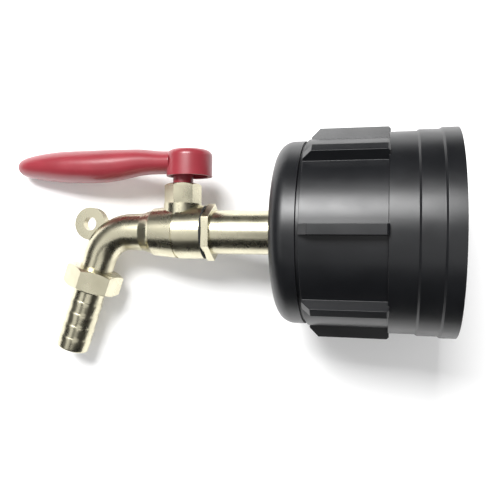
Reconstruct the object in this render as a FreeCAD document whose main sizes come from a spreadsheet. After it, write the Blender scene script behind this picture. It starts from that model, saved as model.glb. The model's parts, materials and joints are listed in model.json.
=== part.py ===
"""Tank valve for an intermediate bulk container: a screw-on plastic adapter with a ball tap.

Frame: the origin is the centre of the adapter's open mouth. +X points at the tank, along the adapter's
axis, and +Z points up from the tap to its lever. The tap pours towards -X and -Z. Millimetres and degrees.

Every size below is a cell of the sheet "sizes". Formulas in this file are written with those names.
"""
import FreeCAD, Part
import Sketcher
import math
import os
import re

SIZES = {
    # Adapter: one moulding, with a coarse internal thread at its mouth and a small one in its front wall
    "band_radius": 58.0,           # thickened band round the mouth
    "band_width": 8.5,
    "middle_radius": 57.2,         # the skirt widens towards the mouth in two shallow steps
    "middle_width": 12.0,
    "skirt_radius": 56.4,
    "skirt_length": 35.8,          # mouth plane to the ribs
    "step_slope": 1.2,             # run of a step's slope
    "rib_length": 44.0,
    "rib_height": 6.5,             # above the wall between the ribs
    "rib_width": 5.5,
    "rib_slope": 5.0,              # run of the sloping end of a rib
    "rib_edge": 1.2,               # small slope at its other end
    "rib_lap": 0.6,                # how far a rib runs onto the skirt
    "rib_depth": 4.5,              # how far a rib's foot reaches into the wall
    "rib_count": 8,
    "grip_radius": 53.5,           # wall between the ribs
    "neck_radius": 51.0,           # narrow groove between ribs and collar
    "neck_width": 2.0,
    "collar_radius": 52.6,
    "collar_width": 15.0,          # from the narrow groove to the front face
    "collar_round": 9.0,
    "boss_radius": 19.0,           # raised ring round the small thread
    "boss_height": 2.0,
    "tank_thread_radius": 50.3,    # root of the tank thread
    "tank_thread_depth": 36.0,
    "chamber_radius": 42.5,        # water space behind the gasket
    "chamber_end_radius": 38.0,
    "front_wall": 7.0,
    "inner_boss_length": 8.0,
    "lip_radius": 9.5,             # ledge that the inlet gasket sits on
    "lip_width": 2.0,
    "tank_gasket_inner": 43.0,
    "tank_gasket_width": 6.6,
    "tank_gasket_thick": 4.0,
    # Inlet connector
    "shank_radius": 13.2,
    "inlet_gasket_thick": 2.0,
    "shank_length": 41.4,          # adapter's front face to the hex flange
    "flange_width": 4.6,
    "flange_flats": 30.0,
    "spigot_radius": 13.6,
    "seal_thick": 1.0,
    "water_radius": 7.5,           # bore of connector, seats and ball
    # Tap body
    "stem_inset": 15.0,            # body's face to the stem's axis
    "body_radius": 16.3,
    "barrel_past": 17.5,           # stem's axis to the end of the barrel
    "barrel_end_radius": 14.6,     # barrel's outside where the taper to the spout starts
    "ring_width": 1.6,             # groove turned round the barrel under the stem
    "ring_depth": 0.9,
    "ring_place": 1.0,             # stem's axis to the groove
    "taper_length": 7.5,           # barrel to spout
    "spout_radius": 11.6,
    "spout_end_radius": 9.9,       # the spout narrows towards its outlet
    "spout_bore": 7.6,
    "spout_reach": 49.6,           # stem's axis to the corner that the spout bends round
    "spout_drop": 25.0,            # that corner to the top of the union nut
    "spout_tilt": 18.0,            # outlet's lean from the vertical
    "bend_radius": 22.0,
    "outlet_radius": 13.0,         # threaded end of the spout
    "outlet_length": 8.0,
    "ear_radius": 10.2,
    "ear_hole": 4.3,
    "ear_thick": 6.0,
    "ear_lean": 45.0,              # ear's direction from the vertical, seen from the bend's centre
    "ear_land": 0.4,               # metal between the ear's hole and the spout
    "boss_top": 17.3,              # stem boss above the tap's axis
    "boss_outer": 11.6,
    "gland_neck_radius": 7.4,
    "gland_neck_top": 24.4,
    # Ball, seats and stem
    "ball_radius": 10.5,
    "stem_room": 0.4,              # stem's flange to the seats
    "seat_far": 9.4,
    "seat_radius": 11.2,
    "slot_width": 4.0,
    "slot_depth": 2.6,
    "stem_radius": 4.0,
    "stem_flange_radius": 5.5,
    "stem_flange_thick": 1.7,
    "thrust_thick": 1.0,
    "oring_thick": 1.8,
    "oring_pitch": 4.2,
    "square_width": 6.0,
    "square_top": 41.5,
    "packing_thick": 2.0,
    "gland_flats": 19.5,
    "gland_top": 29.4,
    # Lever and its screw
    "lever_top": 50.0,
    "hub_bottom": 30.0,
    "hub_radius": 6.2,
    "hood_bottom": 34.0,
    "hood_radius": 14.0,
    "hood_shift": 4.0,             # hood's centre behind the stem's axis
    "hood_wall": 2.4,
    "hood_roof": 6.0,
    "hood_round": 4.0,
    "recess_radius": 6.2,          # recess for the screw in the lever's top
    "recess_depth": 5.2,
    "screw_radius": 2.4,
    "screw_length": 12.0,
    "head_radius": 4.4,
    "head_height": 3.4,
    "hex_key": 4.0,
    "washer_thick": 0.9,
    # Hose tail, washer and union nut, along the outlet's own axis
    "nut_flats": 31.0,
    "nut_height": 13.0,
    "nut_floor": 2.4,
    "tail_radius": 10.2,
    "tail_bore": 7.4,
    "tail_length": 40.0,           # under the union nut
    "tail_flange_radius": 12.4,
    "tail_flange_thick": 1.6,
    "barb_height": 0.35,
    "barb_pitch": 8.0,
    "barb_count": 4,
    "tail_washer_thick": 1.4,
    # Clearances
    "thread_gap": 0.05,            # between a thread and its mate, drawn as plain cylinders
    "turning_gap": 0.05,           # round the stem, the ball and the union nut
    "lever_gap": 0.6,              # gland nut to lever hub
    "seat_play": 0.04,             # ball to seats
}

# Stations of the lever's grip: distance from the stem, half width, top and bottom under the lever's top
GRIP = [
    ("root", 6.0, 11.0, 0.2, 14.2),
    ("arm", 18.0, 10.4, 0.2, 14.8),
    ("swell", 34.0, 10.6, 0.0, 17.6),
    ("palm", 50.0, 12.0, 0.0, 20.2),
    ("hold", 68.0, 13.2, 0.2, 20.4),
    ("finger", 86.0, 12.8, 0.8, 19.4),
    ("nose", 101.0, 10.4, 2.8, 17.4),
    ("tip", 109.0, 7.0, 5.2, 15.2),
    ("end", 112.0, 3.4, 7.6, 12.6),
]
for station, distance, half_width, above, below in GRIP:
    SIZES[station + "_distance"] = distance
    SIZES[station + "_half_width"] = half_width
    SIZES[station + "_upper"] = above
    SIZES[station + "_lower"] = below

# Places that follow from the sizes, all measured from the mouth plane
PLACES = {
    "rib_top": "grip_radius + rib_height",
    "cap_length": "skirt_length + rib_length + neck_width + collar_width",
    "flange_place": "cap_length + shank_length",
    "face_place": "flange_place + flange_width + seal_thick",
    "stem_place": "face_place + stem_inset",
    "seat_near": "stem_flange_radius + stem_room",
}

doc = FreeCAD.newDocument("tank_valve")
sheet = doc.addObject("Spreadsheet::Sheet", "sizes")
for row, (alias, number) in enumerate(SIZES.items(), start=1):
    sheet.set("A%d" % row, alias)
    sheet.set("B%d" % row, str(number))
    sheet.setAlias("B%d" % row, alias)
doc.recompute()

VECTOR = FreeCAD.Vector
X_AXIS, Y_AXIS, Z_AXIS = VECTOR(1, 0, 0), VECTOR(0, 1, 0), VECTOR(0, 0, 1)
ALONG_X = FreeCAD.Rotation(Y_AXIS, 90)
ALONG_Y = FreeCAD.Rotation(X_AXIS, -90)
parts = []


def formula(text):
    """A formula of size names as an expression that reads the sheet."""
    def spell(word):
        if word[0] in PLACES:
            return "(" + formula(PLACES[word[0]]) + ")"
        return ("sizes." if word[0] in SIZES else "") + word[0]
    return re.sub(r"[a-z]\w+", spell, text)


def bind(thing, **formulas):
    """Bind properties to formulas. Place_x stands for Placement.Base.x, and turn for the angle."""
    paths = {"place_x": "Placement.Base.x", "place_y": "Placement.Base.y",
             "place_z": "Placement.Base.z", "turn": "Placement.Rotation.Angle"}
    for name, text in formulas.items():
        thing.setExpression(paths.get(name, name), formula(text))


def part(thing, label):
    """Name a finished sub-part."""
    thing.Label = label
    parts.append(thing)
    return thing


# ---- PartDesign helpers ----

def new_body(name):
    return doc.addObject("PartDesign::Body", name)


def sketch_on(body, plane, name):
    """An empty sketch on one of the body's own planes: XY, XZ or YZ."""
    sketch = body.newObject("Sketcher::SketchObject", name)
    own = [item for item in body.Origin.OriginFeatures if item.Role == plane + "_Plane"][0]
    sketch.AttachmentSupport = [(own, "")]
    sketch.MapMode = "FlatFace"
    return sketch


def fix_point(sketch, geometry, point, across, up, near=(1.0, 1.0)):
    """Hold a point of a sketch at two formulas from the sketch's origin. Near is where it starts."""
    for kind, text, guess in (("DistanceX", across, near[0]), ("DistanceY", up, near[1])):
        index = sketch.addConstraint(Sketcher.Constraint(kind, -1, 1, geometry, point, guess))
        sketch.setExpression("Constraints[%d]" % index, formula(text))


def polygon(body, plane, name, corners):
    """A closed outline through corners, each given as two formulas."""
    sketch = sketch_on(body, plane, name)
    count = len(corners)
    start = [VECTOR(math.cos(2 * math.pi * i / count), math.sin(2 * math.pi * i / count), 0)
             for i in range(count)]
    for i in range(count):
        sketch.addGeometry(Part.LineSegment(start[i], start[(i + 1) % count]), False)
    for i in range(count):
        sketch.addConstraint(Sketcher.Constraint("Coincident", i, 2, (i + 1) % count, 1))
    for i, (across, up) in enumerate(corners):
        fix_point(sketch, i, 1, across, up)
    return sketch


def circles(body, plane, name, rings):
    """Circles, each given as formulas for its centre and its radius."""
    sketch = sketch_on(body, plane, name)
    for i, (across, up, radius) in enumerate(rings):
        sketch.addGeometry(Part.Circle(VECTOR(i, 0, 0), Z_AXIS, 1.0 + i), False)
        fix_point(sketch, i, 3, across, up)
        index = sketch.addConstraint(Sketcher.Constraint("Radius", i, 1.0 + i))
        sketch.setExpression("Constraints[%d]" % index, formula(radius))
    return sketch


def hexagon(body, name, flats):
    """A hexagon on the XY plane with two flats facing along Y."""
    half, side, corner = flats + " / 2", flats + " / 2 * tan(30)", flats + " / 2 / cos(30)"
    return polygon(body, "XY", name, [
        (side, half), ("-" + side, half), ("-" + corner, "0"),
        ("-" + side, "-" + half), (side, "-" + half), (corner, "0")])


def turned(body, kind, sketch, axis):
    """A Revolution or a Groove about one of the sketch's axes."""
    feature = body.newObject("PartDesign::" + kind, sketch.Name + "_turned")
    feature.Profile = sketch
    feature.ReferenceAxis = (sketch, [axis])
    feature.Angle = 360.0
    sketch.Visibility = False
    return feature


def extruded(body, kind, sketch, length, both_ways=False, backwards=False):
    """A Pad or a Pocket of a sketch."""
    feature = body.newObject("PartDesign::" + kind, sketch.Name + "_cut" if kind == "Pocket"
                             else sketch.Name + "_pad")
    feature.Profile = sketch
    feature.setExpression("Length", formula(length))
    feature.Midplane = both_ways
    feature.Reversed = backwards
    return feature


def dressed(body, kind, base, edges, size, size_name):
    """A Fillet or a Chamfer on named edges of the feature before it."""
    feature = body.newObject("PartDesign::" + kind, body.Name + "_" + kind.lower())
    feature.Base = (base, edges)
    feature.setExpression(size_name, formula(size))
    return feature


def rims(feature, test):
    """Names of the feature's circular edges whose centre and radius pass the test."""
    doc.recompute()
    found = []
    for number, edge in enumerate(feature.Shape.Edges, start=1):
        if isinstance(edge.Curve, Part.Circle) and test(edge.Curve.Center, edge.Curve.Radius):
            found.append("Edge%d" % number)
    return found


def ring(label, axis, inner, outer, near, far):
    """A plain ring about the X or the Z axis, from one formula to another along it."""
    body = new_body(label)
    corners = [(near, inner), (far, inner), (far, outer), (near, outer)]
    if axis == "H_Axis":
        sketch = polygon(body, "XZ", label + "_section", corners)
    else:
        sketch = polygon(body, "XZ", label + "_section", [(up, across) for across, up in corners])
    turned(body, "Revolution", sketch, axis)
    return part(body, label)


# ---- Adapter ----

cap = new_body("cap")
front = "-cap_length"
middle_end = "-(band_width + middle_width)"
ribs_end = "-(skirt_length + rib_length)"
collar_back = "-(skirt_length + rib_length + neck_width)"
cap_outline = polygon(cap, "XZ", "cap_outline", [
    ("0", "0"), ("0", "band_radius"), ("-band_width", "band_radius"),
    ("-band_width - step_slope", "middle_radius"), (middle_end, "middle_radius"),
    (middle_end + " - step_slope", "skirt_radius"), ("-skirt_length", "skirt_radius"),
    ("-skirt_length", "grip_radius"), (ribs_end, "grip_radius"), (ribs_end, "neck_radius"),
    (collar_back, "neck_radius"), (collar_back, "collar_radius"), (front, "collar_radius"),
    (front, "boss_radius"), (front + " - boss_height", "boss_radius"), (front + " - boss_height", "0")])
cap_solid = turned(cap, "Revolution", cap_outline, "H_Axis")
doc.recompute()
cap_round = dressed(cap, "Fillet", cap_solid,
                    rims(cap_solid, lambda centre, radius: abs(radius - sheet.collar_radius) < 0.01)[-1:],
                    "collar_round", "Radius")

rib_root, rib_end = "grip_radius - rib_depth", "-skirt_length + rib_lap"
rib_outline = polygon(cap, "XZ", "rib_outline", [
    (rib_end, rib_root), (rib_end, "rib_top - rib_edge"), (rib_end + " - rib_edge", "rib_top"),
    (ribs_end + " + rib_slope", "rib_top"), (ribs_end, "rib_top - rib_slope"), (ribs_end, rib_root)])
rib = extruded(cap, "Pad", rib_outline, "rib_width", both_ways=True)
ribs = cap.newObject("PartDesign::PolarPattern", "ribs")
ribs.Originals = [rib]
ribs.Axis = (rib_outline, ["H_Axis"])
ribs.Angle = 360.0
ribs.setExpression("Occurrences", formula("rib_count"))
cap.Tip = ribs

hole_radius = "shank_radius + thread_gap"
gasket_outer = "tank_gasket_inner + tank_gasket_width"
gasket_seat = "-(tank_thread_depth + tank_gasket_thick)"
wall_inside = "-(cap_length - front_wall)"
inner_boss_end = "-(cap_length - front_wall - inner_boss_length)"
lip_face = inner_boss_end + " - lip_width"
cap_inside = polygon(cap, "XZ", "cap_inside", [
    ("1", "0"), ("1", "tank_thread_radius"), ("-tank_thread_depth", "tank_thread_radius"),
    ("-tank_thread_depth", gasket_outer), (gasket_seat, gasket_outer),
    (gasket_seat, "chamber_radius"), (wall_inside, "chamber_end_radius"),
    (wall_inside, "boss_radius"), (inner_boss_end, "boss_radius"), (inner_boss_end, "lip_radius"),
    (lip_face, "lip_radius"), (lip_face, hole_radius),
    (front + " - boss_height - 1", hole_radius), (front + " - boss_height - 1", "0")])
turned(cap, "Groove", cap_inside, "H_Axis")
part(cap, "adapter_cap")

ring("tank_gasket", "H_Axis", "tank_gasket_inner", gasket_outer, gasket_seat, "-tank_thread_depth")
ring("inlet_gasket", "H_Axis", "lip_radius + 0.3", "shank_radius", lip_face,
     lip_face + " - inlet_gasket_thick")

# ---- Inlet connector ----

connector = new_body("connector")
inlet_end = lip_face + " - inlet_gasket_thick"
flange_front = "-flange_place"
flange_back = "-(flange_place + flange_width)"
seat_end = "-(stem_place - seat_far)"
connector_outline = polygon(connector, "XZ", "connector_outline", [
    (inlet_end, "water_radius"), (inlet_end, "shank_radius - 1"), (inlet_end + " - 1", "shank_radius"),
    (flange_back, "shank_radius"), (flange_back, "spigot_radius"), (seat_end, "spigot_radius"),
    (seat_end, "water_radius")])
turned(connector, "Revolution", connector_outline, "H_Axis")
half_flats = "flange_flats / 2"
flange_hex = polygon(connector, "YZ", "flange_hex", [
    (half_flats, half_flats + " * tan(30)"), ("0", half_flats + " / cos(30)"),
    ("-" + half_flats, half_flats + " * tan(30)"), ("-" + half_flats, "-" + half_flats + " * tan(30)"),
    ("0", "-" + half_flats + " / cos(30)"), (half_flats, "-" + half_flats + " * tan(30)")])
flange_hex.setExpression("AttachmentOffset.Base.z", formula(flange_back))
extruded(connector, "Pad", flange_hex, "flange_width")
flange_bore = circles(connector, "YZ", "flange_bore", [("0", "0", "water_radius")])
flange_bore.setExpression("AttachmentOffset.Base.z", formula(flange_back + " - 1"))
extruded(connector, "Pocket", flange_bore, "flange_width + 2", backwards=True)
part(connector, "inlet_connector")

ring("body_seal", "H_Axis", "spigot_radius + 0.2", "body_radius - 0.3", flange_back,
     flange_back + " - seal_thick")

# ---- Tap body ----

tap = new_body("tap")
body_face = "-face_place"
barrel_end = "-(stem_place + barrel_past)"
taper_end = barrel_end + " - taper_length"
groove_near = "-(stem_place + ring_place)"
groove_far = "-(stem_place + ring_place + ring_width)"
barrel_outline = polygon(tap, "XZ", "barrel_outline", [
    (body_face, "0"), (body_face, "body_radius"), (groove_near, "body_radius"),
    (groove_near, "body_radius - ring_depth"), (groove_far, "body_radius - ring_depth"),
    (groove_far, "body_radius - 0.3"), (barrel_end, "barrel_end_radius"),
    (barrel_end + " - 1.5", "barrel_end_radius - 1.1"), (taper_end, "spout_radius"), (taper_end, "0")])
turned(tap, "Revolution", barrel_outline, "H_Axis")

stem_boss = circles(tap, "XY", "stem_boss", [("-stem_place", "0", "boss_outer")])
extruded(tap, "Pad", stem_boss, "boss_top")
gland_neck = circles(tap, "XY", "gland_neck", [("-stem_place", "0", "gland_neck_radius")])
extruded(tap, "Pad", gland_neck, "gland_neck_top")

# The spout's centre line: straight, round the bend, and straight down to its threaded end
corner_x = "-(stem_place + spout_reach)"
bend_start = corner_x + " + bend_radius * tan((90 - spout_tilt) / 2)"
nut_x = "(-(stem_place + spout_reach) - spout_drop * sin(spout_tilt))"
nut_z = "(-spout_drop * cos(spout_tilt))"
end_run = "(spout_drop + outlet_length)"


def centre_line(name, past_end):
    """The spout's path as a sketch, run on past its end by a formula."""
    tilt = math.radians(sheet.spout_tilt)
    stem_at = (sheet.skirt_length + sheet.rib_length + sheet.neck_width + sheet.collar_width
               + sheet.shank_length + sheet.flange_width + sheet.seal_thick + sheet.stem_inset)
    corner = VECTOR(-stem_at - sheet.spout_reach, 0, 0)
    down = VECTOR(-math.sin(tilt), -math.cos(tilt), 0)
    reach = sheet.bend_radius * math.tan((math.pi / 2 - tilt) / 2)
    begin, leave = corner + X_AXIS * reach, corner + down * reach
    centre = begin - Y_AXIS * sheet.bend_radius
    near_end = corner + down * (sheet.spout_drop + sheet.outlet_length)
    near_start = VECTOR(-stem_at - sheet.barrel_past - sheet.taper_length + 1, 0, 0)
    sketch = sketch_on(tap, "XZ", name)
    sketch.addGeometry(Part.LineSegment(near_start, begin), False)
    bend = Part.ArcOfCircle(Part.Circle(centre, Z_AXIS, sheet.bend_radius), math.pi / 2, math.pi - tilt)
    sketch.addGeometry(bend, False)
    sketch.addGeometry(Part.LineSegment(leave, near_end), False)
    sketch.addConstraint(Sketcher.Constraint("Tangent", 0, 2, 1, 1))
    sketch.addConstraint(Sketcher.Constraint("Tangent", 1, 2, 2, 1))
    fix_point(sketch, 0, 1, taper_end + " + 1", "0", near_start)
    fix_point(sketch, 0, 2, bend_start, "0", begin)
    index = sketch.addConstraint(Sketcher.Constraint("Radius", 1, sheet.bend_radius))
    sketch.setExpression("Constraints[%d]" % index, formula("bend_radius"))
    run = "(spout_drop + outlet_length + %s)" % past_end
    fix_point(sketch, 2, 2, corner_x + " - %s * sin(spout_tilt)" % run, "-%s * cos(spout_tilt)" % run, near_end)
    return sketch


def across_outlet(sketch, run):
    """Lay a sketch across the outlet's axis, a run beyond the top of the union nut."""
    sketch.AttachmentOffset = FreeCAD.Placement(VECTOR(0, 0, 0), FreeCAD.Rotation(Y_AXIS, 1))
    bind(sketch, **{"AttachmentOffset.Rotation.Angle": "spout_tilt",
                    "AttachmentOffset.Base.x": nut_x + " - (%s) * sin(spout_tilt)" % run,
                    "AttachmentOffset.Base.z": nut_z + " - (%s) * cos(spout_tilt)" % run})


def pipe(kind, name, radius, end_radius, past_end):
    """A round pipe along the spout's centre line, added or cut away."""
    path = centre_line(name + "_path", past_end)
    section = circles(tap, "YZ", name + "_section", [("0", "0", radius)])
    section.setExpression("AttachmentOffset.Base.z", formula(taper_end + " + 1"))
    last = circles(tap, "XY", name + "_last_section", [("0", "0", end_radius)])
    across_outlet(last, "outlet_length + %s" % past_end)
    doc.recompute()
    feature = tap.newObject("PartDesign::" + kind, name)
    feature.Profile = section
    feature.Spine = (path, ["Edge1", "Edge2", "Edge3"])
    feature.Transformation = "Multisection"
    feature.Sections = [last]
    return feature


pipe("AdditivePipe", "spout_wall", "spout_radius", "spout_end_radius", "0")

ear_reach = "(bend_radius + spout_radius + ear_land + ear_hole)"
ear_x = bend_start + " - %s * sin(ear_lean)" % ear_reach
ear_z = "-bend_radius + %s * cos(ear_lean)" % ear_reach
ear = circles(tap, "XZ", "ear", [(ear_x, ear_z, "ear_radius")])
extruded(tap, "Pad", ear, "ear_thick", both_ways=True)
ear_eye = circles(tap, "XZ", "ear_eye", [(ear_x, ear_z, "ear_hole")])
extruded(tap, "Pocket", ear_eye, "ear_thick * 2", both_ways=True)

# Thread ring of the outlet, turned about the outlet's own axis, then the waterway
outlet_ring = circles(tap, "XY", "outlet_ring", [("0", "0", "outlet_radius")])
across_outlet(outlet_ring, "outlet_length")
extruded(tap, "Pad", outlet_ring, "outlet_length")
pipe("SubtractivePipe", "spout_hollow", "spout_bore", "spout_bore", "1")

barrel_inside = polygon(tap, "XZ", "barrel_inside", [
    (body_face + " + 1", "0"), (body_face + " + 1", "spigot_radius + thread_gap"),
    (seat_end + " - 0.2", "spigot_radius + thread_gap"), (seat_end + " - 0.2", "seat_radius + thread_gap"),
    ("-(stem_place + seat_far)", "seat_radius + thread_gap"), ("-(stem_place + seat_far)", "spout_bore"),
    (taper_end, "spout_bore"), (taper_end, "0")])
turned(tap, "Groove", barrel_inside, "H_Axis")

tongue_bottom = "(ball_radius - slot_depth)"
flange_low = "(ball_radius + 0.3)"
flange_high = "(ball_radius + 0.3 + stem_flange_thick)"
thrust_high = "(ball_radius + 0.3 + stem_flange_thick + thrust_thick)"
stem_pocket = circles(tap, "XY", "stem_pocket",
                      [("-stem_place", "0", "stem_flange_radius + turning_gap")])
extruded(tap, "Pocket", stem_pocket, thrust_high, backwards=True)
stem_bore = circles(tap, "XY", "stem_bore", [("-stem_place", "0", "stem_radius + turning_gap")])
extruded(tap, "Pocket", stem_bore, "gland_neck_top + 1", backwards=True)
part(tap, "tap_body")

# ---- Ball and seats ----


def primitive(kind, name, rotation=None, **formulas):
    """A Part primitive with its sizes and place bound to formulas."""
    thing = doc.addObject("Part::" + kind, name)
    if rotation is not None:
        thing.Placement = FreeCAD.Placement(VECTOR(0, 0, 0), rotation)
    bind(thing, **formulas)
    return thing


def cut(name, base, tool):
    thing = doc.addObject("Part::Cut", name)
    thing.Base, thing.Tool = base, tool
    return thing


def fuse(name, *pieces):
    thing = doc.addObject("Part::MultiFuse", name)
    thing.Shapes = list(pieces)
    return thing


# The tap is drawn shut: the ball's bore lies across the flow
ball_round = primitive("Sphere", "ball_round", Radius="ball_radius", place_x="-stem_place")
ball_bore = primitive("Cylinder", "ball_bore", ALONG_Y, Radius="water_radius - 0.7",
                      Height="ball_radius * 4", place_x="-stem_place", place_y="-ball_radius * 2")
ball_slot = primitive("Box", "ball_slot", Length="ball_radius * 4", Width="slot_width",
                      Height="slot_depth + 1", place_x="-stem_place - ball_radius * 2",
                      place_y="-slot_width / 2", place_z=tongue_bottom)
part(cut("ball", ball_round, fuse("ball_cuts", ball_bore, ball_slot)), "ball")

for name, far_side in (("inlet_seat", "-stem_place + seat_near"), ("outlet_seat", "-stem_place - seat_far")):
    blank = primitive("Cylinder", name + "_blank", ALONG_X, Radius="seat_radius",
                      Height="seat_far - seat_near", place_x=far_side)
    bore = primitive("Cylinder", name + "_bore", ALONG_X, Radius="water_radius",
                     Height="seat_far * 4", place_x="-stem_place - seat_far * 2")
    hollow = primitive("Sphere", name + "_hollow", Radius="ball_radius + seat_play",
                       place_x="-stem_place")
    part(cut(name, blank, fuse(name + "_cuts", bore, hollow)), name)

# ---- Stem, seals and gland nut, turned about the stem's axis ----


def on_stem(thing):
    """Stand a piece that is drawn about its own Z axis on the stem's axis."""
    bind(thing, place_x="-stem_place")
    return thing


stem = on_stem(new_body("stem_body"))
groove_low = "(" + thrust_high + " + oring_thick)"
groove_root = "stem_radius - oring_thick + turning_gap"


def groove_corners(number):
    """Four corners of one O-ring groove, from below."""
    low = groove_low + " + oring_pitch * %d" % number
    return [("stem_radius", low), (groove_root, low), (groove_root, low + " + oring_thick * 1.25"),
            ("stem_radius", low + " + oring_thick * 1.25")]


stem_outline = polygon(stem, "XZ", "stem_outline", [
    ("0", flange_low), ("stem_flange_radius", flange_low), ("stem_flange_radius", flange_high),
    ("stem_radius", flange_high), *groove_corners(0), *groove_corners(1),
    ("stem_radius", "gland_top + lever_gap - 0.2"), ("0", "gland_top + lever_gap - 0.2")])
turned(stem, "Revolution", stem_outline, "V_Axis")
tongue = polygon(stem, "XY", "tongue", [
    ("stem_flange_radius - 0.6", "slot_width / 2 - 0.1"), ("-stem_flange_radius + 0.6", "slot_width / 2 - 0.1"),
    ("-stem_flange_radius + 0.6", "-slot_width / 2 + 0.1"), ("stem_flange_radius - 0.6", "-slot_width / 2 + 0.1")])
tongue.setExpression("AttachmentOffset.Base.z", formula(tongue_bottom + " + 0.2"))
extruded(stem, "Pad", tongue, "slot_depth + 0.3")
half_square = "square_width / 2"
square = polygon(stem, "XY", "square", [
    (half_square, half_square), ("-" + half_square, half_square),
    ("-" + half_square, "-" + half_square), (half_square, "-" + half_square)])
square.setExpression("AttachmentOffset.Base.z", formula("gland_top + lever_gap - 0.4"))
extruded(stem, "Pad", square, "square_top - gland_top - lever_gap + 0.4")
screw_hole = circles(stem, "XY", "screw_hole", [("0", "0", "screw_radius + thread_gap")])
screw_hole.setExpression("AttachmentOffset.Base.z", formula("square_top - screw_length"))
extruded(stem, "Pocket", screw_hole, "screw_length + 1", backwards=True)
part(stem, "stem")

on_stem(ring("thrust_washer", "V_Axis", "stem_radius + turning_gap", "stem_flange_radius", flange_high,
             thrust_high))

o_rings = [primitive("Torus", "o_ring_%d" % number, Radius1="stem_radius - oring_thick / 2 + turning_gap",
                     Radius2="oring_thick / 2 - 0.02", place_x="-stem_place",
                     place_z=groove_low + " + oring_pitch * %d + oring_thick * 0.625" % number)
           for number in range(2)]
both_rings = doc.addObject("Part::Compound", "both_o_rings")
both_rings.Links = o_rings
part(both_rings, "stem_o_rings")

on_stem(ring("gland_packing", "V_Axis", "stem_radius + turning_gap", "gland_neck_radius", "gland_neck_top",
             "gland_neck_top + packing_thick"))

gland = on_stem(new_body("gland"))
gland_hex = hexagon(gland, "gland_hex", "gland_flats")
gland_hex.setExpression("AttachmentOffset.Base.z", formula("boss_top"))
extruded(gland, "Pad", gland_hex, "gland_top - boss_top")
gland_inside = polygon(gland, "XZ", "gland_inside", [
    ("0", "boss_top - 1"), ("gland_neck_radius + thread_gap", "boss_top - 1"),
    ("gland_neck_radius + thread_gap", "gland_neck_top + packing_thick"),
    ("stem_radius + turning_gap", "gland_neck_top + packing_thick"),
    ("stem_radius + turning_gap", "gland_top + 1"), ("0", "gland_top + 1")])
turned(gland, "Groove", gland_inside, "V_Axis")
gland_corner = "gland_flats / 2 / cos(30)"
gland_round = polygon(gland, "XZ", "gland_round", [
    ("gland_flats / 2 - 0.2", "gland_top + 0.1"), (gland_corner + " + 0.5", "gland_top + 0.1"),
    (gland_corner + " + 0.5", "gland_top - 1.2")])
turned(gland, "Groove", gland_round, "V_Axis")
part(gland, "gland_nut")

# ---- Lever ----


def grip_section(station):
    """One oval section of the grip, standing across the lever."""
    upper, lower = station + "_upper", station + "_lower"
    oval = doc.addObject("Part::Ellipse", station + "_section")
    oval.Placement = FreeCAD.Placement(VECTOR(0, 0, 0), FreeCAD.Rotation(Y_AXIS, Z_AXIS, X_AXIS, "ZXY"))
    bind(oval, MajorRadius=station + "_half_width", MinorRadius="(%s - %s) / 2" % (lower, upper),
         place_x="-stem_place - %s_distance" % station,
         place_z="lever_top - (%s + %s) / 2" % (lower, upper))
    return oval


grip = doc.addObject("Part::Loft", "grip")
grip.Sections = [grip_section(station[0]) for station in GRIP]
grip.Solid, grip.Ruled = True, False

hood_x = "-stem_place + hood_shift"
hood = primitive("Cylinder", "hood", Radius="hood_radius", Height="lever_top - hood_bottom",
                 place_x=hood_x, place_z="hood_bottom")
doc.recompute()
hood_rounded = doc.addObject("Part::Fillet", "hood_rounded")
hood_rounded.Base = hood
top_rim = [number for number, edge in enumerate(hood.Shape.Edges, start=1)
           if isinstance(edge.Curve, Part.Circle) and edge.Curve.Center.z > sheet.lever_top - 0.01]
hood_rounded.Edges = [(number, sheet.hood_round, sheet.hood_round) for number in top_rim]
hollow = primitive("Cylinder", "hood_hollow", Radius="hood_radius - hood_wall",
                   Height="lever_top - hood_roof - hood_bottom + 5", place_x=hood_x,
                   place_z="hood_bottom - 5")
hub = primitive("Cylinder", "hub", Radius="hub_radius", Height="lever_top - hub_bottom - 2",
                place_x="-stem_place", place_z="hub_bottom")
socket = primitive("Box", "hub_socket", Length="square_width + 0.1", Width="square_width + 0.1",
                   Height="square_top - hub_bottom + 5", place_x="-stem_place - square_width / 2 - 0.05",
                   place_y="-square_width / 2 - 0.05", place_z="hub_bottom - 5")
recess = primitive("Cylinder", "screw_recess", Radius="recess_radius", Height="recess_depth + 5",
                   place_x="-stem_place", place_z="lever_top - recess_depth")
screw_way = primitive("Cylinder", "screw_way", Radius="screw_radius + 0.2",
                      Height="lever_top - square_top + 1", place_x="-stem_place", place_z="square_top - 1")
shell = cut("lever_shell", fuse("lever_outside", grip, hood_rounded), hollow)
lever_solid = cut("lever_solid", fuse("lever_and_hub", shell, hub),
                  fuse("lever_cuts", socket, recess, screw_way))
part(lever_solid, "lever")

washer_seat = "lever_top - recess_depth"
on_stem(ring("lever_washer", "V_Axis", "screw_radius + 0.2", "recess_radius - 0.5", washer_seat,
             washer_seat + " + washer_thick"))
screw = on_stem(new_body("screw"))
screw_outline = polygon(screw, "XZ", "screw_outline", [
    ("0", "square_top - screw_length + 1"), ("screw_radius", "square_top - screw_length + 1"),
    ("screw_radius", washer_seat + " + washer_thick"), ("head_radius", washer_seat + " + washer_thick"),
    ("head_radius", washer_seat + " + washer_thick + head_height"),
    ("0", washer_seat + " + washer_thick + head_height")])
turned(screw, "Revolution", screw_outline, "V_Axis")
key_hex = hexagon(screw, "key_hex", "hex_key")
key_hex.setExpression("AttachmentOffset.Base.z", formula(washer_seat + " + washer_thick + head_height * 0.35"))
extruded(screw, "Pocket", key_hex, "head_height", backwards=True)
part(screw, "lever_screw")

# ---- Outlet: washer, hose tail and union nut, drawn about the outlet's axis ----


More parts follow.
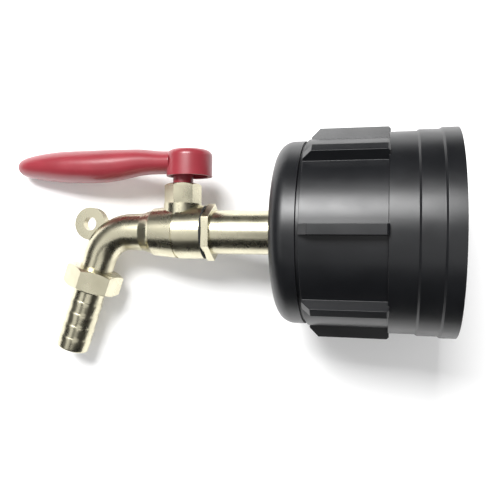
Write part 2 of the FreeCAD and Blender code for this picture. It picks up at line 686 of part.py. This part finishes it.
def on_outlet(thing):
    """Set a piece that is drawn about its own Z axis, nut top at zero, on the leaning outlet."""
    thing.Placement = FreeCAD.Placement(VECTOR(0, 0, 0), FreeCAD.Rotation(Y_AXIS, 1))
    bind(thing, place_x=nut_x, place_z=nut_z, turn="spout_tilt")
    return thing


on_outlet(ring("tail_washer", "V_Axis", "tail_bore", "outlet_radius - 0.6", "-outlet_length",
               "-outlet_length - tail_washer_thick"))
flange_up = "(-outlet_length - tail_washer_thick)"
flange_down = "(-outlet_length - tail_washer_thick - tail_flange_thick)"
tail_end = "(-nut_height - tail_length)"
tail = on_outlet(new_body("tail"))
barb_low = "tail_radius - barb_height"
first_barb = tail_end + " + 0.8"
barbs = []
for number in range(round(sheet.barb_count)):
    low = first_barb + " + barb_pitch * %d" % number
    barbs += [(barb_low, low), ("tail_radius", low + " + barb_pitch * 0.7"),
              ("tail_radius", low + " + barb_pitch * 0.85")]
tail_outline = polygon(tail, "XZ", "tail_outline", [
    ("tail_bore", flange_up), ("tail_bore", tail_end), (barb_low + " - 0.5", tail_end), *barbs,
    (barb_low, first_barb + " + barb_pitch * barb_count"), (barb_low, "-nut_height - 1.5"),
    ("tail_radius", "-nut_height - 1"), ("tail_radius", flange_down), ("tail_flange_radius", flange_down),
    ("tail_flange_radius", flange_up)])
turned(tail, "Revolution", tail_outline, "V_Axis")
part(tail, "hose_tail")

nut = on_outlet(new_body("nut"))
nut_hex = hexagon(nut, "nut_hex", "nut_flats")
extruded(nut, "Pad", nut_hex, "nut_height", backwards=True)
nut_inside = polygon(nut, "XZ", "nut_inside", [
    ("0", "1"), ("outlet_radius + turning_gap", "1"),
    ("outlet_radius + turning_gap", flange_down + " - turning_gap"),
    ("tail_radius + turning_gap", flange_down + " - turning_gap"),
    ("tail_radius + turning_gap", "-nut_height - 1"), ("0", "-nut_height - 1")])
turned(nut, "Groove", nut_inside, "V_Axis")
nut_corner = "nut_flats / 2 / cos(30)"
nut_round = polygon(nut, "XZ", "nut_round", [
    ("nut_flats / 2 - 0.3", "0.1"), (nut_corner + " + 0.5", "0.1"), (nut_corner + " + 0.5", "-1.6")])
turned(nut, "Groove", nut_round, "V_Axis")
nut_round_low = polygon(nut, "XZ", "nut_round_low", [
    ("nut_flats / 2 - 0.3", "-nut_height - 0.1"), (nut_corner + " + 0.5", "-nut_height - 0.1"),
    (nut_corner + " + 0.5", "-nut_height + 1.6")])
turned(nut, "Groove", nut_round_low, "V_Axis")
part(nut, "union_nut")

# ---- Check and write ----

doc.recompute()
failed = [item.Name for item in doc.Objects if "Invalid" in item.State or "Error" in item.State]
if failed:
    raise SystemExit("failed objects: " + ", ".join(failed))
os.makedirs("parts", exist_ok=True)
for piece in parts:
    if piece.Shape.isNull() or not piece.Shape.isValid():
        raise SystemExit("bad shape: " + piece.Label)
for piece in parts:
    piece.Shape.exportStep("parts/%s.step" % piece.Label)
    box = piece.Shape.BoundBox
    print("%-16s solids %d volume %9.1f  X %.1f %.1f  Y %.1f %.1f  Z %.1f %.1f" % (
        piece.Label, len(piece.Shape.Solids), piece.Shape.Volume, box.XMin, box.XMax, box.YMin, box.YMax,
        box.ZMin, box.ZMax))
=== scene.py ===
# %% [markdown]
# # Tank valve: an adapter, a ball tap and its red lever
#
# The solids come from the CAD model, already at their real size and place. This lesson gives them
# their finish: a camera and a studio first, then one material for each real surface, and then the
# pieces that CAD leaves out, such as threads.

# %% Load the frame
import json
import math
import bmesh
import bpy
from mathutils import Matrix, Vector


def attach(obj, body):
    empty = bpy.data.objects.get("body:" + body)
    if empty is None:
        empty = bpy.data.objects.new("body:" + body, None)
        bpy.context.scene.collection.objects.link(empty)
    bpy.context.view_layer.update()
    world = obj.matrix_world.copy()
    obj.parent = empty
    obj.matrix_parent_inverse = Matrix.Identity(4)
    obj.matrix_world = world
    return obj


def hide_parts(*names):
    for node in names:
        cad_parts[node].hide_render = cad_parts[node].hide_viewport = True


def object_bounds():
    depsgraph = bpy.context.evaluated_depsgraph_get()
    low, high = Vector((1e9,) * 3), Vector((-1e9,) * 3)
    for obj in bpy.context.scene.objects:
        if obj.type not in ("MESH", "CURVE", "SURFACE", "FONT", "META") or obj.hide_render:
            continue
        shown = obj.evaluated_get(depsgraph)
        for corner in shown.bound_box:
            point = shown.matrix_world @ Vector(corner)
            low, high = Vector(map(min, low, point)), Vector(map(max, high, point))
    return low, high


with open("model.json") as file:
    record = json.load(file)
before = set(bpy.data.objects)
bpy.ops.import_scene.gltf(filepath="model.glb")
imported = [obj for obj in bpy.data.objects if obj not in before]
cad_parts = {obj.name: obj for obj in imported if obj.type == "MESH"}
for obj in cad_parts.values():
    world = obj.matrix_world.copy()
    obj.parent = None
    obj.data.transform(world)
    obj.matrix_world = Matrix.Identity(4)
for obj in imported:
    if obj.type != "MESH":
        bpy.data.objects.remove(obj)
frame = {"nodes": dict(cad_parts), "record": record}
nodes = frame["nodes"]
cad_low, cad_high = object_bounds()
MM = 0.001
print("CAD box in mm:", [round(v / MM, 1) for v in (*cad_low, *cad_high)])

# %% [markdown]
# ## Camera
#
# The valve is looked at from its side by a camera that stands close, so the adapter's mouth bulges
# and the tap looks smaller. The camera stands level with the ends of the ribs and is turned towards
# the tap. A lens of about 43 mm from 35 cm away gives that strong perspective.

# %% Camera
CAMERA_ACROSS = -0.0358         # along the adapter's axis
CAMERA_AWAY = 0.349             # from the axis, on the -Y side
CAMERA_LEVEL = -0.0105
CAMERA_TURN = math.radians(13)  # towards the tap
CAMERA_ROLL = math.radians(0.6)
LENS = 43.2
SENSOR_WIDTH = 36
NEAREST_SEEN = 0.01

camera_data = bpy.data.cameras.new("camera")
camera_data.lens = LENS
camera_data.sensor_width = SENSOR_WIDTH
camera_data.clip_start = NEAREST_SEEN
camera = bpy.data.objects.new("camera", camera_data)
bpy.context.scene.collection.objects.link(camera)
bpy.context.scene.camera = camera
upright = Matrix.Rotation(math.radians(90), 4, "X")
turn = Matrix.Rotation(CAMERA_TURN, 4, "Z")
roll = Matrix.Rotation(CAMERA_ROLL, 4, "Z")
camera.matrix_world = (Matrix.Translation((CAMERA_ACROSS, -CAMERA_AWAY, CAMERA_LEVEL))
                       @ turn @ upright @ roll)
bpy.context.scene.view_settings.view_transform = "Standard"
print("camera at", [round(v, 4) for v in camera.matrix_world.translation])

# %% [markdown]
# ## Nodes and colours
#
# Colours are easier to match as the hex values that a picture shows. Shaders work in linear light,
# so one function turns a hex value into that. Another adds one shader node with its settings.

# %% Helpers for materials
def linear(code, alpha=1.0):
    """An sRGB hex colour as linear red, green, blue and alpha."""
    values = [int(code[i:i + 2], 16) / 255 for i in (1, 3, 5)]
    return [v / 12.92 if v <= 0.04045 else ((v + 0.055) / 1.055) ** 2.4 for v in values] + [alpha]


def add(tree, kind, settings=None, **links):
    """Add a node. Settings are properties or socket values, and links are sockets to read from."""
    node = tree.nodes.new(kind)
    for name, value in (settings or {}).items():
        if hasattr(node, name):
            setattr(node, name, value)
        else:
            node.inputs[name].default_value = value
    for name, source in links.items():
        tree.links.new(source, node.inputs[name.replace("_", " ")])
    return node


def new_material(name):
    """An empty material, its node tree and its output."""
    material = bpy.data.materials.new(name)
    material.use_nodes = True
    tree = material.node_tree
    tree.nodes.clear()
    return material, tree, tree.nodes.new("ShaderNodeOutputMaterial")


# %% [markdown]
# ## White sheet
#
# The valve lies against a plain white sheet. The sheet takes the soft shadow of the object, and where
# nothing falls on it, it is as white as the world behind it. Its back lets light and view through, so
# that the valve can be walked round.

# %% Backdrop
SHEET_TILT = math.radians(15.1)  # it touches the adapter's ribs and the lever's grip
SHEET_SIZE = 3.0
SHEET_POINT = Vector((-0.0748, 0.0602, 0))

sheet_mesh = bmesh.new()
bmesh.ops.create_grid(sheet_mesh, x_segments=1, y_segments=1, size=SHEET_SIZE / 2)
bmesh.ops.rotate(sheet_mesh, verts=sheet_mesh.verts, matrix=Matrix.Rotation(math.radians(90), 3, "X"))
bmesh.ops.rotate(sheet_mesh, verts=sheet_mesh.verts, matrix=Matrix.Rotation(SHEET_TILT, 3, "Z"))
bmesh.ops.translate(sheet_mesh, verts=sheet_mesh.verts, vec=SHEET_POINT)
sheet_data = bpy.data.meshes.new("backdrop")
sheet_mesh.to_mesh(sheet_data)
sheet_mesh.free()
backdrop = bpy.data.objects.new("backdrop", sheet_data)
bpy.context.scene.collection.objects.link(backdrop)

paper, tree, output = new_material("white_paper_sheet")
diffuse = add(tree, "ShaderNodeBsdfDiffuse", {"Color": linear("#FFFFFF")})
clear = add(tree, "ShaderNodeBsdfTransparent")
side = add(tree, "ShaderNodeNewGeometry")
mix = add(tree, "ShaderNodeMixShader", None, Fac=side.outputs["Backfacing"])
tree.links.new(diffuse.outputs[0], mix.inputs[1])
tree.links.new(clear.outputs[0], mix.inputs[2])
tree.links.new(mix.outputs[0], output.inputs["Surface"])
sheet_data.materials.append(paper)
print("sheet of", SHEET_SIZE, "m, turned by", round(math.degrees(SHEET_TILT), 1), "degrees")

# %% [markdown]
# ## White walls
#
# The walls of the studio are white. They could be built as a room, but the world does the same with
# less. The camera and the reflections see it fully white, and the light that it gives is weaker, so
# that the lamps can still draw shadows. The Light Path node tells these rays apart.

# %% World
WALLS_LIGHT = 0.48
WALLS_SEEN = 1.0

world = bpy.data.worlds.new("studio")
bpy.context.scene.world = world
world.use_nodes = True
tree = world.node_tree
tree.nodes.clear()
output = tree.nodes.new("ShaderNodeOutputWorld")
path = add(tree, "ShaderNodeLightPath")
seen = add(tree, "ShaderNodeMath", {"operation": "MAXIMUM"})
tree.links.new(path.outputs["Is Camera Ray"], seen.inputs[0])
tree.links.new(path.outputs["Is Transmission Ray"], seen.inputs[1])
shiny = add(tree, "ShaderNodeMath", {"operation": "MAXIMUM"})
tree.links.new(seen.outputs[0], shiny.inputs[0])
tree.links.new(path.outputs["Is Glossy Ray"], shiny.inputs[1])
lit = add(tree, "ShaderNodeBackground", {"Color": linear("#FFFFFF"), "Strength": WALLS_LIGHT})
white = add(tree, "ShaderNodeBackground", {"Color": linear("#FFFFFF"), "Strength": WALLS_SEEN})
mix = add(tree, "ShaderNodeMixShader", None, Fac=shiny.outputs[0])
tree.links.new(lit.outputs[0], mix.inputs[1])
tree.links.new(white.outputs[0], mix.inputs[2])
tree.links.new(mix.outputs[0], output.inputs["Surface"])
print("world gives", WALLS_LIGHT, "and shows", WALLS_SEEN)

# %% [markdown]
# ## Lamps
#
# A large lamp close by gives soft shadows, as a softbox does. The key stands above the camera, a little
# to the tap's side, and draws the long highlights on the cap and on the metal. A weak fill opens the
# undersides. A third lamp lights the far side, for whoever walks round the valve.

# %% Lamps
TANK_VALVE = (-0.1, 0, 0)  # what the lamps are turned to


def softbox(name, place, width, height, power):
    """A rectangular lamp at a place, turned to the valve."""
    data = bpy.data.lights.new(name, "AREA")
    data.shape = "RECTANGLE"
    data.size, data.size_y, data.energy = width, height, power
    lamp = bpy.data.objects.new(name, data)
    bpy.context.scene.collection.objects.link(lamp)
    lamp.location = place
    lamp.rotation_mode = "QUATERNION"
    lamp.rotation_quaternion = (Vector(TANK_VALVE) - Vector(place)).to_track_quat("-Z", "Y")
    print(name, power, "W")


softbox("key_softbox", place=(-0.20, -0.86, 0.46), width=0.50, height=0.36, power=15)
softbox("fill_softbox", place=(0.30, -0.95, -0.35), width=0.9, height=0.7, power=2)
softbox("back_softbox", place=(0.10, 1.10, 0.80), width=2.0, height=1.6, power=12)

# %% [markdown]
# ## Black cards
#
# Polished metal shows only what stands round it, and in a white studio it has no edges. A photographer
# stands black cards beside such a piece, just out of view, and the metal gets its dark outline from
# them. Here the cards are seen by reflections alone.

# %% Black cards
CARD_THICK = 0.004
card_paint, tree, output = new_material("black_card")
card_skin = add(tree, "ShaderNodeBsdfDiffuse", {"Color": linear("#0C0C0C")})
tree.links.new(card_skin.outputs[0], output.inputs["Surface"])


def black_card(name, centre, width, depth, height):
    """A box-shaped card that only reflections see."""
    shape = bmesh.new()
    bmesh.ops.create_cube(shape, size=1.0)
    bmesh.ops.scale(shape, verts=shape.verts, vec=(width, depth, height))
    bmesh.ops.translate(shape, verts=shape.verts, vec=centre)
    data = bpy.data.meshes.new(name)
    shape.to_mesh(data)
    shape.free()
    data.materials.append(card_paint)
    card = bpy.data.objects.new(name, data)
    bpy.context.scene.collection.objects.link(card)
    for ray in ("camera", "diffuse", "transmission", "shadow", "volume_scatter"):
        setattr(card, "visible_" + ray, False)
    print(name)


black_card("card_above", centre=(-0.12, -0.14, 0.32), width=0.90, depth=0.62, height=CARD_THICK)
black_card("card_below", centre=(-0.12, -0.14, -0.32), width=0.90, depth=0.62, height=CARD_THICK)
black_card("card_behind_camera", centre=(0.35, -1.60, 0.0), width=1.7, depth=CARD_THICK, height=2.2)
black_card("card_tap_side", centre=(-0.75, -0.40, 0.0), width=CARD_THICK, depth=0.7, height=1.4)
black_card("card_mouth_side", centre=(0.60, -0.50, 0.0), width=CARD_THICK, depth=0.9, height=1.4)

# %% [markdown]
# ## Adapter: moulded polypropylene
#
# The adapter is injection moulded in black polypropylene. The mould leaves a smooth skin with a faint
# grain, so the eye sees deep black with broad soft highlights. Two noises give that: a fine one lifts
# the surface a little, and a wide one changes tone and shine. The IOR of polypropylene is about 1.49.

# %% Moulded polypropylene
MOULD_GRAIN, MOULD_RELIEF = 0.9 * MM, 0.05 * MM  # coarser than the real grain, so that it shows
MOULD_WAVES = 14.0 * MM

POLYPROPYLENE, tree, output = new_material("moulded_black_polypropylene")
place = add(tree, "ShaderNodeTexCoord")
grain = add(tree, "ShaderNodeTexNoise", {"Scale": 1 / MOULD_GRAIN, "Detail": 2.0},
            Vector=place.outputs["Object"])
waves = add(tree, "ShaderNodeTexNoise", {"Scale": 1 / MOULD_WAVES, "Detail": 3.0},
            Vector=place.outputs["Object"])
tone = add(tree, "ShaderNodeMixRGB", {"Color1": linear("#0D0E10"), "Color2": linear("#141518")},
           Fac=waves.outputs["Fac"])
shine = add(tree, "ShaderNodeMapRange", {"To Min": 0.30, "To Max": 0.42}, Value=waves.outputs["Fac"])
bump = add(tree, "ShaderNodeBump", {"Strength": 0.12, "Distance": MOULD_RELIEF},
           Height=grain.outputs["Fac"])
skin = add(tree, "ShaderNodeBsdfPrincipled", {"IOR": 1.49}, Base_Color=tone.outputs["Color"],
           Roughness=shine.outputs["Result"], Normal=bump.outputs["Normal"])
tree.links.new(skin.outputs[0], output.inputs["Surface"])
print("material", POLYPROPYLENE.name)

# %% [markdown]
# ## Tap: nickel-plated brass
#
# The tap is cast and turned in brass and then nickel plated. Nickel is a warm, pale metal. Its coat
# follows the cast skin below, so the eye sees bright reflections that are a little blurred and uneven.
# A metal shader takes its looks from what stands round it, so two near tones are enough here.

# %% Nickel-plated brass
CAST_SKIN, CAST_RELIEF = 1.6 * MM, 0.08 * MM
TARNISH = 9.0 * MM

NICKEL, tree, output = new_material("nickel_plated_brass")
place = add(tree, "ShaderNodeTexCoord")
cast = add(tree, "ShaderNodeTexNoise", {"Scale": 1 / CAST_SKIN, "Detail": 3.0},
           Vector=place.outputs["Object"])
tarnish = add(tree, "ShaderNodeTexNoise", {"Scale": 1 / TARNISH, "Detail": 4.0},
              Vector=place.outputs["Object"])
tone = add(tree, "ShaderNodeMixRGB", {"Color1": linear("#DAD5BC"), "Color2": linear("#C6C0A6")},
           Fac=tarnish.outputs["Fac"])
shine = add(tree, "ShaderNodeMapRange", {"To Min": 0.20, "To Max": 0.36}, Value=tarnish.outputs["Fac"])
bump = add(tree, "ShaderNodeBump", {"Strength": 0.10, "Distance": CAST_RELIEF},
           Height=cast.outputs["Fac"])
skin = add(tree, "ShaderNodeBsdfPrincipled", {"Metallic": 1.0}, Base_Color=tone.outputs["Color"],
           Roughness=shine.outputs["Result"], Normal=bump.outputs["Normal"])
tree.links.new(skin.outputs[0], output.inputs["Surface"])
print("material", NICKEL.name)

# %% [markdown]
# ## Lever: red stove enamel
#
# The lever is dipped in red enamel and dried in an oven. Dipped enamel flows, so the eye sees an even
# dull red under a thin clear gloss, with a faint orange peel. A weak coat over the paint gives the
# gloss, and a bump with lumps of about 2 mm gives the peel.

# %% Red stove enamel
ORANGE_PEEL, PEEL_RELIEF = 2.2 * MM, 0.06 * MM
ENAMEL_POOLS = 12.0 * MM

ENAMEL, tree, output = new_material("red_stove_enamel")
place = add(tree, "ShaderNodeTexCoord")
peel = add(tree, "ShaderNodeTexNoise", {"Scale": 1 / ORANGE_PEEL, "Detail": 1.0},
           Vector=place.outputs["Object"])
pools = add(tree, "ShaderNodeTexNoise", {"Scale": 1 / ENAMEL_POOLS, "Detail": 2.0},
            Vector=place.outputs["Object"])
tone = add(tree, "ShaderNodeMixRGB", {"Color1": linear("#92303A"), "Color2": linear("#802830")},
           Fac=pools.outputs["Fac"])
bump = add(tree, "ShaderNodeBump", {"Strength": 0.08, "Distance": PEEL_RELIEF},
           Height=peel.outputs["Fac"])
skin = add(tree, "ShaderNodeBsdfPrincipled",
           {"Roughness": 0.36, "Coat Weight": 0.25, "Coat Roughness": 0.18},
           Base_Color=tone.outputs["Color"], Normal=bump.outputs["Normal"])
tree.links.new(skin.outputs[0], output.inputs["Surface"])
print("material", ENAMEL.name)

# %% [markdown]
# ## Seals, seats, screw and ball
#
# The inner pieces have plain finishes. Pressed rubber is dull and nearly black, turned PTFE is waxy
# white, zinc plate is a grey half gloss, and the ball's chrome is a mirror. They differ in colour and
# shine only, so one function makes them all from one noise.

# %% Plain finishes
SHINE_VARIES = 0.06


def plain_finish(name, low, high, lumps, dull, metallic=0.0):
    """A finish with two near tones in lumps of a size, and a faint unevenness in its shine."""
    material, tree, output = new_material(name)
    place = add(tree, "ShaderNodeTexCoord")
    noise = add(tree, "ShaderNodeTexNoise", {"Scale": 1 / lumps, "Detail": 3.0},
                Vector=place.outputs["Object"])
    tone = add(tree, "ShaderNodeMixRGB", {"Color1": linear(low), "Color2": linear(high)},
               Fac=noise.outputs["Fac"])
    shine = add(tree, "ShaderNodeMapRange", {"To Min": dull - SHINE_VARIES, "To Max": dull + SHINE_VARIES},
                Value=noise.outputs["Fac"])
    skin = add(tree, "ShaderNodeBsdfPrincipled", {"Metallic": metallic},
               Base_Color=tone.outputs["Color"], Roughness=shine.outputs["Result"])
    tree.links.new(skin.outputs[0], output.inputs["Surface"])
    print("material", name)
    return material


RUBBER = plain_finish("pressed_nitrile_rubber", "#191A1A", "#232424", lumps=3.0 * MM, dull=0.72)
PTFE = plain_finish("turned_ptfe", "#E9E8E2", "#F4F3EE", lumps=4.0 * MM, dull=0.5)
ZINC = plain_finish("zinc_plated_steel", "#A9ACB0", "#C3C6CA", lumps=1.5 * MM, dull=0.34, metallic=1.0)
CHROME = plain_finish("polished_chrome_plate", "#D6D8DA", "#E2E3E5", lumps=8.0 * MM, dull=0.12,
                      metallic=1.0)

# %% Finishes of the inner pieces
FINISHES = {
    "tank_gasket": RUBBER, "inlet_gasket": RUBBER, "body_seal": RUBBER, "tail_washer": RUBBER,
    "stem_o_rings": RUBBER, "inlet_seat": PTFE, "outlet_seat": PTFE, "thrust_washer": PTFE,
    "gland_packing": PTFE, "lever_washer": ZINC, "lever_screw": ZINC, "stem": NICKEL, "ball": CHROME,
}
for name, material in FINISHES.items():
    nodes[name].data.materials.clear()
    nodes[name].data.materials.append(material)
print("inner pieces", len(FINISHES))

# %% [markdown]
# ## Eased edges
#
# No moulded or turned edge is truly sharp, and the thin light line along an edge is what makes a piece
# look real. The CAD mesh is loose triangles, so a copy is merged first, and flat neighbours are
# dissolved into whole faces. Then the bevel operator eases every edge that turns by more than 25
# degrees, and weighted normals keep the flats flat.

# %% Ease the edges of a CAD node
SHARP = math.radians(25)
FLAT = math.radians(0.02)
SAME_POINT = 0.002 * MM


def body_of(name):
    """The rigid body that a node belongs to."""
    return next(body for body, names in frame["record"]["behaviour"]["bodies"].items() if name in names)


def place_piece(name, shape, material, body, replaced=()):
    """Make an object of a bmesh, give it a finish and let it ride on its body."""
    data = bpy.data.meshes.new(name)
    shape.to_mesh(data)
    shape.free()
    data.materials.append(material)
    data.shade_smooth()
    piece = bpy.data.objects.new(name, data)
    bpy.context.scene.collection.objects.link(piece)
    normals = piece.modifiers.new("weighted_normals", "WEIGHTED_NORMAL")
    normals.keep_sharp = True
    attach(piece, body)
    if replaced:
        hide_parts(*replaced)
    print(name, "faces", len(data.polygons))


def merged_copy(name):
    """A CAD node's mesh as one closed skin of whole faces."""
    shape = bmesh.new()
    shape.from_mesh(nodes[name].data)
    bmesh.ops.remove_doubles(shape, verts=shape.verts, dist=SAME_POINT)
    bmesh.ops.dissolve_limit(shape, angle_limit=FLAT, use_dissolve_boundaries=False,
                             verts=shape.verts, edges=shape.edges)
    return shape


def eased(name, material, width_mm, segments=2, shape_it=None):
    """A copy of a CAD node with all its edges eased by a width, and shaped first if need be."""
    shape = merged_copy(name)
    if shape_it:
        shape_it(shape)
    sharp = [edge for edge in shape.edges
             if len(edge.link_faces) == 2 and edge.calc_face_angle(0) > SHARP]
    bmesh.ops.bevel(shape, geom=sharp, offset=width_mm * MM, offset_type="OFFSET", segments=segments,
                    profile=0.5, affect="EDGES", clamp_overlap=True, material=-1)
    place_piece(name + "_skin", shape, material, body_of(name), [name])


# %% [markdown]
# ## Lever and nuts
#
# The lever is a casting with a full grip, and its back runs in one line over the hood. So the grip is
# raised a little along a smooth curve. Its end is no flat cut but a small dome: the end face is
# extruded three times, each time smaller and by a shorter step.
#
# A nut stops at whatever angle it gets tight. Here both nuts show the camera one of their flats, so
# their skins are turned about the axes of their threads.

# %% Shapes of lever and nuts
LIFT_START = 9.0 * MM   # from the stem's axis
LIFT_RUN = 22.0 * MM
GRIP_LIFT = 1.6 * MM
TIP_RUN = 4.0 * MM      # how much of the tip draws back for the dome
DOME_STEPS = [(0.88, 0.45 * MM), (0.80, 0.4 * MM), (0.62, 0.3 * MM)]  # new share of the size, and step
ON_END = 0.01 * MM
GLAND_TURN = math.radians(19)
UNION_TURN = math.radians(27)
joints = {joint["name"]: joint for joint in frame["record"]["behaviour"]["joints"]}


def shape_lever(shape):
    """Raise the grip along a smooth curve and round its end."""
    stem_x = joints["lever_turn"]["pos_m"][0]
    end_x = min(vert.co.x for vert in shape.verts)
    dome = sum(step for shrink, step in DOME_STEPS)
    for vert in shape.verts:
        blend = min(max((stem_x - vert.co.x - LIFT_START) / LIFT_RUN, 0), 1)
        vert.co.z += GRIP_LIFT * blend * blend * (3 - 2 * blend)
        tip_share = max(1 - (vert.co.x - end_x) / TIP_RUN, 0)
        vert.co.x += dome * tip_share ** 2
    end_x += dome
    end_faces = [face for face in shape.faces
                 if all(abs(vert.co.x - end_x) < ON_END for vert in face.verts)]
    if len(end_faces) > 1:
        end_faces = bmesh.ops.dissolve_faces(shape, faces=end_faces)["region"]
    shape.normal_update()
    for shrink, step in DOME_STEPS:
        end_faces = bmesh.ops.extrude_discrete_faces(shape, faces=end_faces)["faces"]
        centre = end_faces[0].calc_center_median()
        bmesh.ops.scale(shape, verts=end_faces[0].verts, vec=(1, shrink, shrink),
                        space=Matrix.Translation(-centre))
        bmesh.ops.translate(shape, verts=end_faces[0].verts, vec=(-step, 0, 0))


def turned_by(joint, angle):
    """A function that turns a shape about a joint's axis."""
    centre, axis = Vector(joints[joint]["pos_m"]), Vector(joints[joint]["axis"])

    def turn_it(shape):
        bmesh.ops.rotate(shape, verts=shape.verts, cent=centre, matrix=Matrix.Rotation(angle, 3, axis))
    return turn_it


# %% Ease the visible pieces
turned_gland, turned_union = turned_by("lever_turn", GLAND_TURN), turned_by("union_nut_turn", UNION_TURN)
eased("adapter_cap", POLYPROPYLENE, width_mm=0.5)
eased("inlet_connector", NICKEL, width_mm=0.25)
eased("tap_body", NICKEL, width_mm=0.35)
eased("gland_nut", NICKEL, width_mm=0.3, shape_it=turned_gland)
eased("union_nut", NICKEL, width_mm=0.35, shape_it=turned_union)
eased("hose_tail", NICKEL, width_mm=0.2)
eased("lever", ENAMEL, width_mm=0.6, segments=3, shape_it=shape_lever)

# %% [markdown]
# ## Tank thread
#
# The adapter screws on with a coarse thread of 8 mm pitch. Its ridge is a blunt wedge, so a four-sided
# outline is spun about the axis while it moves along it, which makes a helix in one operation. The
# ends are closed and sink into the wall.

# %% Tank thread
PITCH = 8.0 * MM
THREAD_TURNS = 3.6
STEPS_PER_TURN = 96
FIRST_TURN = 4.0 * MM    # from the mouth
RIDGE_FOOT = 4.4 * MM
RIDGE_FLANK = 1.1 * MM
RIDGE_HEIGHT = 2.6 * MM
RIDGE_SINKS = 0.4 * MM   # into the wall
RIDGE_EDGE = 0.4 * MM
bore = frame["record"]["mounts"][0]["dims"]["r_mm"] * MM

ridge = bmesh.new()
foot, crest = bore + RIDGE_SINKS, bore - RIDGE_HEIGHT
outline = [(0.0, foot), (RIDGE_FLANK, crest), (RIDGE_FOOT - RIDGE_FLANK, crest), (RIDGE_FOOT, foot)]
start = cad_high.x - FIRST_TURN
corners = [ridge.verts.new((start - along, 0, radius)) for along, radius in outline]
first = ridge.faces.new(corners)
steps = round(THREAD_TURNS * STEPS_PER_TURN)
bmesh.ops.spin(ridge, geom=[first], cent=(0, 0, 0), axis=(1, 0, 0), dvec=(-PITCH / STEPS_PER_TURN, 0, 0),
               angle=THREAD_TURNS * 2 * math.pi, steps=steps, use_merge=False, use_duplicate=False)
bmesh.ops.recalc_face_normals(ridge, faces=ridge.faces)
edges = [edge for edge in ridge.edges if len(edge.link_faces) == 2 and edge.calc_face_angle(0) > SHARP]
bmesh.ops.bevel(ridge, geom=edges, offset=RIDGE_EDGE, offset_type="OFFSET", segments=2, profile=0.5,
                affect="EDGES", clamp_overlap=True, material=-1)
place_piece("tank_thread_ridge", ridge, POLYPROPYLENE, body_of("adapter_cap"))
